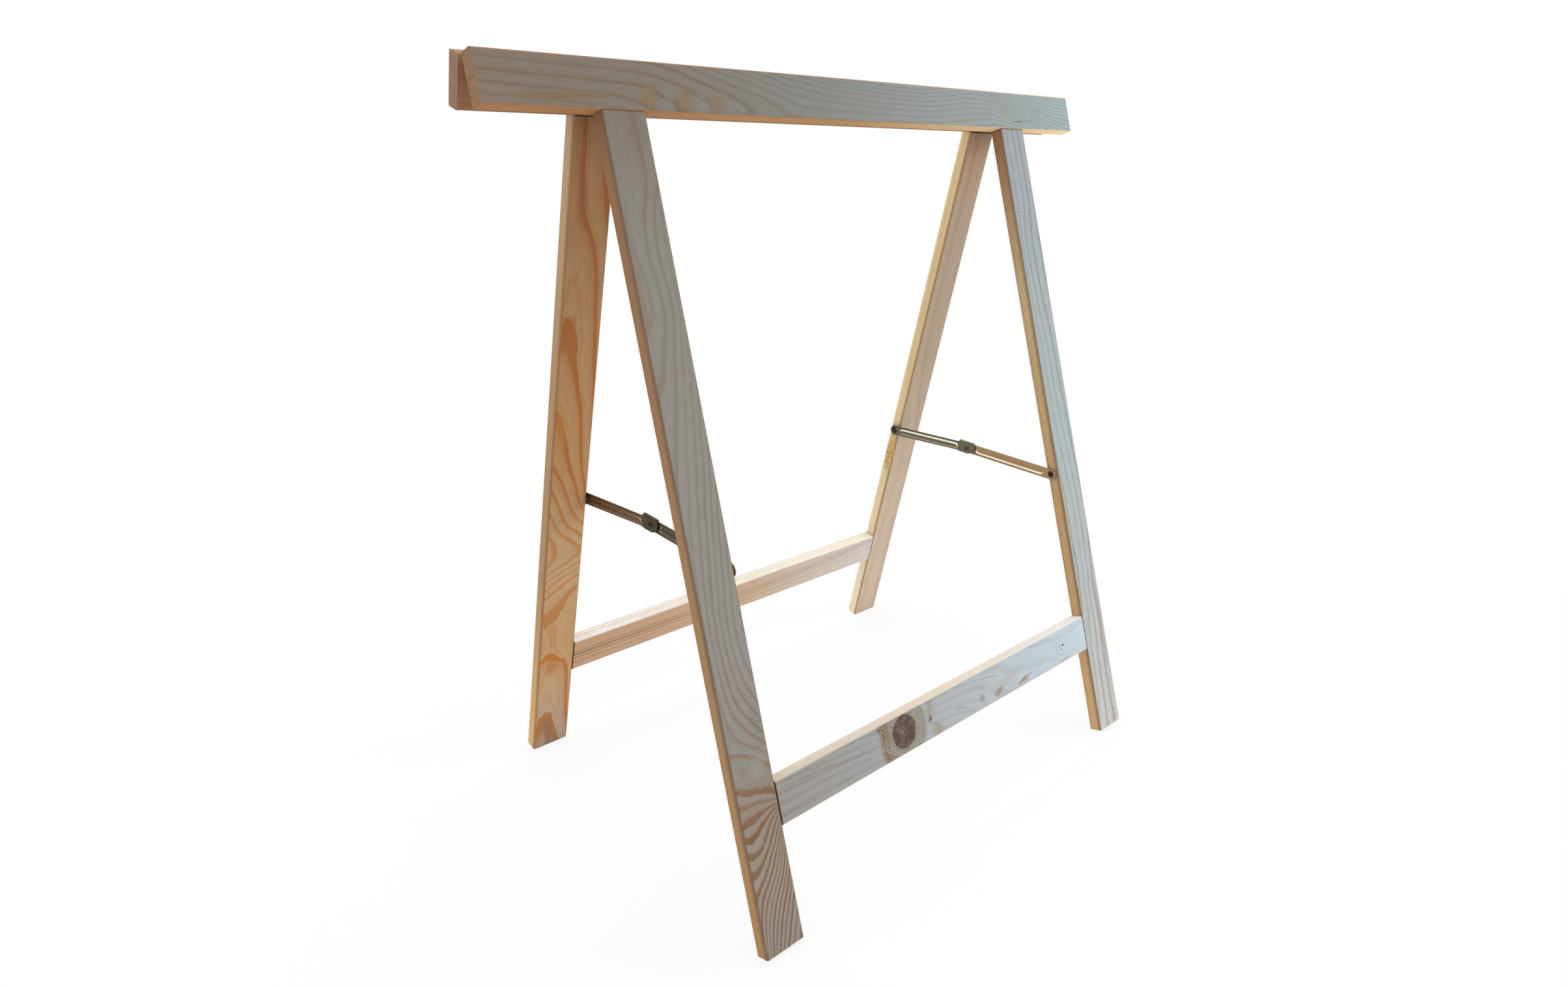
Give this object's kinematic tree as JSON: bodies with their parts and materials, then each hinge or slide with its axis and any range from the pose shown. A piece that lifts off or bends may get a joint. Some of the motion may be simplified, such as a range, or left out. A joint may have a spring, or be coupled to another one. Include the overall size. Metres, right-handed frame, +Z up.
{
  "type": "folding trestle",
  "caption": "Folding wooden work trestle with butt hinged beams, splayed legs, a stretcher on each side and a folding metal stay at each end.",
  "frame": {"origin": "on the floor, at the middle of the footprint, straight below the hinge axis", "axes": "+X along the beams, +Y to the rear frame's side, +Z up"},
  "size_m": [0.75, 0.4558, 0.7494],
  "materials": {
    "pine_front_beam": "bare planed pine",
    "pine_rear_beam": "bare planed pine",
    "pine_front_leg_left": "bare planed pine",
    "pine_front_leg_right": "bare planed pine",
    "pine_rear_leg_left": "bare planed pine",
    "pine_rear_leg_right": "bare planed pine",
    "pine_front_stretcher": "bare planed pine",
    "pine_rear_stretcher": "bare planed pine",
    "beech_dowel": "bare turned beech",
    "hinge_steel": "yellow zinc plated",
    "stay_steel": "dull yellow zinc plated",
    "stay_screw": "dark oiled"
  },
  "bodies": {
    "rear_frame": {"rear_beam": "pine_rear_beam", "rear_leg_left": "pine_rear_leg_left", "rear_leg_right": "pine_rear_leg_right", "rear_stretcher": "pine_rear_stretcher", "rear_beam_dowel_left_1": "beech_dowel", "rear_stretcher_dowel_left_1": "beech_dowel", "rear_beam_dowel_left_2": "beech_dowel", "rear_stretcher_dowel_left_2": "beech_dowel", "rear_beam_dowel_right_1": "beech_dowel", "rear_stretcher_dowel_right_1": "beech_dowel", "rear_beam_dowel_right_2": "beech_dowel", "rear_stretcher_dowel_right_2": "beech_dowel", "hinge_left_rear_leaf": "hinge_steel", "hinge_left_rear_screw_1": "hinge_steel", "hinge_left_rear_screw_2": "hinge_steel", "hinge_right_rear_leaf": "hinge_steel", "hinge_right_rear_screw_1": "hinge_steel", "hinge_right_rear_screw_2": "hinge_steel", "hinge_left_pin": "hinge_steel", "stay_left_rear_screw": "stay_screw", "hinge_right_pin": "hinge_steel", "stay_right_rear_screw": "stay_screw"},
    "front_frame": {"front_beam": "pine_front_beam", "front_leg_left": "pine_front_leg_left", "front_leg_right": "pine_front_leg_right", "front_stretcher": "pine_front_stretcher", "front_beam_dowel_left_1": "beech_dowel", "front_stretcher_dowel_left_1": "beech_dowel", "front_beam_dowel_left_2": "beech_dowel", "front_stretcher_dowel_left_2": "beech_dowel", "front_beam_dowel_right_1": "beech_dowel", "front_stretcher_dowel_right_1": "beech_dowel", "front_beam_dowel_right_2": "beech_dowel", "front_stretcher_dowel_right_2": "beech_dowel", "hinge_left_front_leaf": "hinge_steel", "hinge_left_front_screw_1": "hinge_steel", "hinge_left_front_screw_2": "hinge_steel", "hinge_right_front_leaf": "hinge_steel", "hinge_right_front_screw_1": "hinge_steel", "hinge_right_front_screw_2": "hinge_steel"},
    "stay_left_rear_link": {"stay_left_rear_link": "stay_steel", "stay_left_rivet": "stay_steel"},
    "stay_left_front_link": {"stay_left_front_link": "stay_steel", "stay_left_front_screw": "stay_screw"},
    "stay_right_rear_link": {"stay_right_rear_link": "stay_steel", "stay_right_rivet": "stay_steel"},
    "stay_right_front_link": {"stay_right_front_link": "stay_steel", "stay_right_front_screw": "stay_screw"}
  },
  "joints": [
    {"name": "frame_hinge", "type": "hinge", "parent": "rear_frame", "child": "front_frame", "pos_m": [0, 0, 0.74375], "axis": [1, 0, 0], "range_deg": [0, 31.4]},
    {"name": "stay_left_rear_pivot", "type": "hinge", "parent": "rear_frame", "child": "stay_left_rear_link", "pos_m": [-0.2339, 0.12753, 0.32441], "axis": [1, 0, 0], "range_deg": [-67.39, 0]},
    {"name": "stay_left_knuckle", "type": "hinge", "parent": "stay_left_rear_link", "child": "stay_left_front_link", "pos_m": [-0.2339, 0, 0.33051], "axis": [1, 0, 0], "range_deg": [0, 166.18]},
    {"name": "stay_right_rear_pivot", "type": "hinge", "parent": "rear_frame", "child": "stay_right_rear_link", "pos_m": [0.2324, 0.13154, 0.31017], "axis": [1, 0, 0], "range_deg": [-68.52, 0]},
    {"name": "stay_right_knuckle", "type": "hinge", "parent": "stay_right_rear_link", "child": "stay_right_front_link", "pos_m": [0.2324, 0, 0.31417], "axis": [1, 0, 0], "range_deg": [0, 168.42]}
  ],
  "couplings": [
    {"joint": "stay_left_rear_pivot", "follows": "frame_hinge", "ratio": -2.146},
    {"joint": "stay_left_knuckle", "follows": "frame_hinge", "ratio": 5.292},
    {"joint": "stay_right_rear_pivot", "follows": "frame_hinge", "ratio": -2.1817},
    {"joint": "stay_right_knuckle", "follows": "frame_hinge", "ratio": 5.3634}
  ]
}
